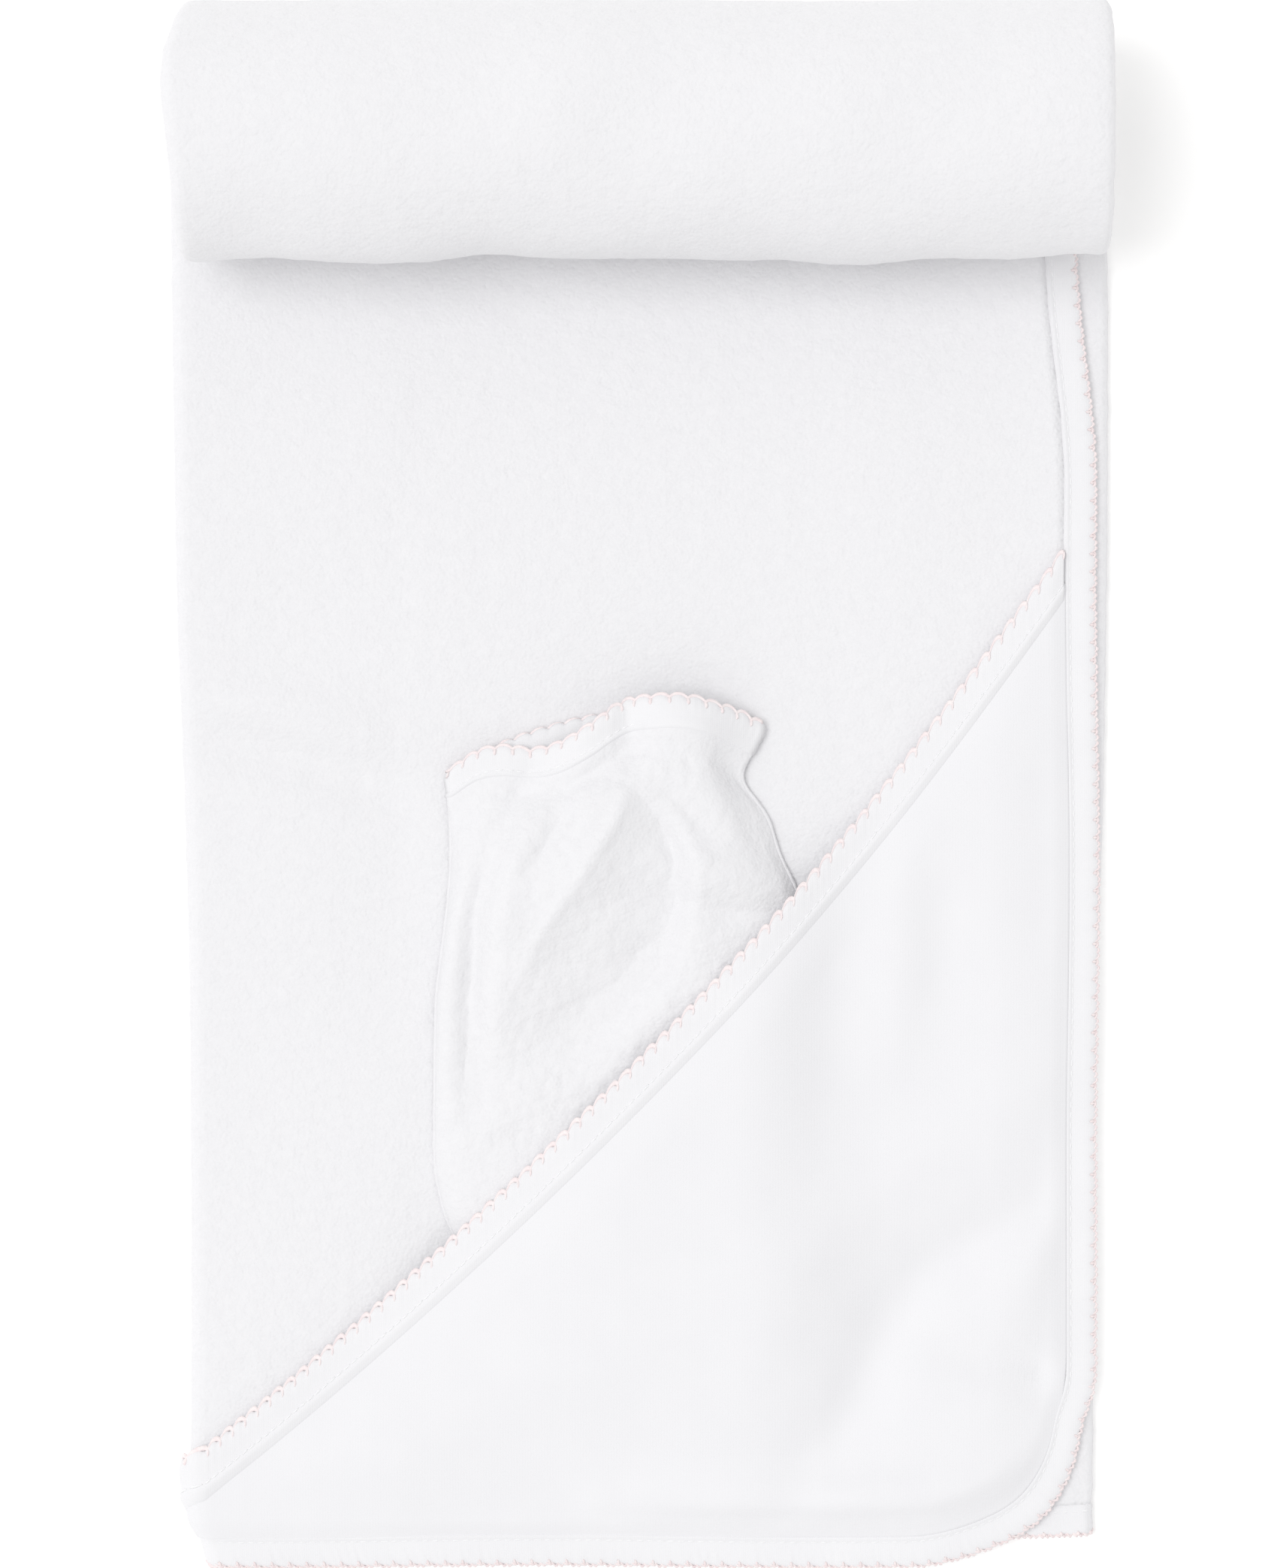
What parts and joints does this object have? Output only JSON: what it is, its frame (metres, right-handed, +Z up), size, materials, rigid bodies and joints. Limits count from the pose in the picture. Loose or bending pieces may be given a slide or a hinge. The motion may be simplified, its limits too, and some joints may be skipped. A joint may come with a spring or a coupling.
{
  "type": "hooded baby towel",
  "caption": "Square hooded bath towel with bound picot edges, folded in three and rolled up from the far end, with a terry bath mitt tucked into the hood.",
  "frame": {"origin": "centre of the folded and rolled towel's box, on the surface that it lies on", "axes": "+Y runs from the hooded end to the roll, +Z up, +X to the right of someone who looks along +Y"},
  "size_m": [0.254, 0.4218, 0.0691],
  "materials": {
    "terry": "white cotton terry, fine loops",
    "jersey": "smooth white cotton jersey",
    "binding": "white knit bias strip",
    "pink_thread": "pale pink picot thread",
    "white_thread": "white sewing thread"
  },
  "bodies": {
    "towel": {"towel_body": "terry", "edge_binding": "binding", "edge_topstitch": "white_thread", "edge_picot": "pink_thread", "hood_panel": "jersey", "hood_mouth_binding": "binding", "hood_mouth_topstitch": "white_thread", "hood_mouth_picot": "pink_thread"},
    "mitt": {"mitt_front": "terry", "mitt_back": "terry", "mitt_side_seam": "white_thread", "mitt_cuff_binding": "binding", "mitt_cuff_topstitch": "white_thread", "mitt_cuff_picot": "pink_thread"}
  },
  "joints": [
    {"name": "mitt_pull", "type": "slide", "parent": "towel", "child": "mitt", "axis": [0, 1, 0], "range_m": [0, 0.105]}
  ]
}
